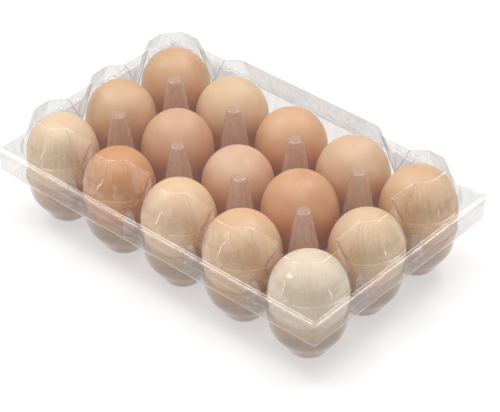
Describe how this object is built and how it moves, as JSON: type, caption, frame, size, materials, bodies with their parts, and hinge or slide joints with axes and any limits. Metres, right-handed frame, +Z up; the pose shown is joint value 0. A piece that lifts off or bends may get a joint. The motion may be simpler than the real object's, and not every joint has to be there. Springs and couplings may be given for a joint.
{
  "type": "egg box",
  "caption": "Shut clear thermoformed egg box with a domed hinged lid, a cup tray with pillars, and brown hen's eggs in every cup.",
  "frame": {"origin": "centre of the box's outline, on the floor under its feet", "axes": "+X along the long side, +Y towards the hinge side, +Z up out of the lid's flat panel"},
  "size_m": [0.247, 0.151, 0.0722],
  "materials": {
    "tray_film": "clear thermoformed film, glossy",
    "lid_film": "clear thermoformed film, glossy",
    "shell_1_1": "eggshell, satin",
    "shell_1_2": "eggshell, satin",
    "shell_1_3": "eggshell, satin",
    "shell_2_1": "eggshell, satin",
    "shell_2_2": "eggshell, satin",
    "shell_2_3": "eggshell, satin",
    "shell_3_1": "eggshell, satin",
    "shell_3_2": "eggshell, satin",
    "shell_3_3": "eggshell, satin",
    "shell_4_1": "eggshell, satin",
    "shell_4_2": "eggshell, satin",
    "shell_4_3": "eggshell, satin",
    "shell_5_1": "eggshell, satin",
    "shell_5_2": "eggshell, satin",
    "shell_5_3": "eggshell, satin"
  },
  "bodies": {
    "tray": {"tray": "tray_film", "egg_1_1": "shell_1_1", "egg_1_2": "shell_1_2", "egg_1_3": "shell_1_3", "egg_2_1": "shell_2_1", "egg_2_2": "shell_2_2", "egg_2_3": "shell_2_3", "egg_3_1": "shell_3_1", "egg_3_2": "shell_3_2", "egg_3_3": "shell_3_3", "egg_4_1": "shell_4_1", "egg_4_2": "shell_4_2", "egg_4_3": "shell_4_3", "egg_5_1": "shell_5_1", "egg_5_2": "shell_5_2", "egg_5_3": "shell_5_3"},
    "lid": {"lid": "lid_film"}
  },
  "joints": [
    {"name": "lid_hinge", "type": "hinge", "parent": "tray", "child": "lid", "pos_m": [0, 0.0755, 0.04905], "axis": [-1, 0, 0], "range_deg": [0, 180]}
  ]
}
